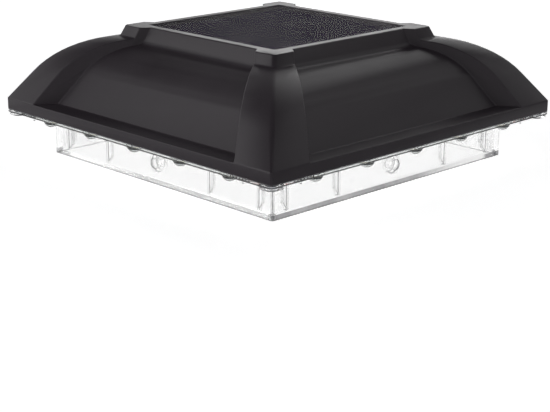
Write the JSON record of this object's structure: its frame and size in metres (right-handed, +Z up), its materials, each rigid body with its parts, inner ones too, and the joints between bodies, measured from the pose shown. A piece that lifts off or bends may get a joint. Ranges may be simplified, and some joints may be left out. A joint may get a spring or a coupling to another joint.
{
  "type": "solar post cap light",
  "caption": "Square solar light that caps a fence post: black curved roof with a solar panel on top, and a clear collar with small lenses that drops over the post.",
  "frame": {"origin": "centre of the collar's bottom edge, where the light stands on a table or reaches furthest down a post", "axes": "+Z up, out of the solar panel; +X and +Y square to the collar's walls; -Y is the front"},
  "size_m": [0.18, 0.18, 0.0613],
  "materials": {
    "roof_plastic": "satin moulded plastic, fine grain",
    "base_plastic": "matt moulded plastic",
    "clear_plastic": "clear polycarbonate, polished",
    "panel_cover": "clear laminate, slightly frosted",
    "cells": "dark cells with fine metal lines",
    "backing_board": "laminated board",
    "sealant": "silicone bead",
    "seal_rubber": "matt rubber",
    "strip_board": "white solder mask",
    "lamp_chip": "yellow phosphor in a white cup",
    "wire_red": "sleeved wire",
    "wire_black": "sleeved wire",
    "circuit_board": "green solder mask",
    "chip_black": "moulded package",
    "coil": "enamelled winding on ferrite",
    "capacitor_sleeve": "shrunk sleeve",
    "socket_plastic": "moulded nylon",
    "switch_case": "tinned sheet",
    "switch_knob": "moulded",
    "cell_sleeve": "shrunk sleeve",
    "contact_metal": "nickel plated",
    "screw_steel": "zinc plated"
  },
  "bodies": {
    "root": {"roof_cap": "roof_plastic", "rim_seal": "seal_rubber", "panel_cover": "panel_cover", "solar_cells": "cells", "panel_backing": "backing_board", "panel_sealant": "sealant", "lens_collar": "clear_plastic", "led_strip_front": "strip_board", "led_strip_right": "strip_board", "led_strip_back": "strip_board", "led_strip_left": "strip_board", "led_chips": "lamp_chip", "strip_link_wires": "wire_red", "led_lead": "wire_black", "base_plate": "base_plastic", "base_seal": "seal_rubber", "base_screws": "screw_steel", "collar_screws": "screw_steel", "main_board": "circuit_board", "board_screws": "screw_steel", "controller_chip": "chip_black", "power_coil": "coil", "capacitor": "capacitor_sleeve", "lead_sockets": "socket_plastic", "switch_body": "switch_case", "battery_cell": "cell_sleeve", "contact_plate": "contact_metal", "contact_spring": "contact_metal", "battery_leads": "wire_red", "panel_lead": "wire_red"},
    "slider": {"switch_slider": "switch_knob"},
    "door": {"battery_door": "base_plastic", "door_seal": "seal_rubber", "door_screws": "screw_steel"}
  },
  "joints": [
    {"name": "switch_slide", "type": "slide", "parent": "root", "child": "slider", "axis": [1, 0, 0], "range_m": [-0.0025, 0.0025]},
    {"name": "battery_door_drop", "type": "slide", "parent": "root", "child": "door", "axis": [0, 0, -1], "range_m": [0, 0.018]}
  ]
}
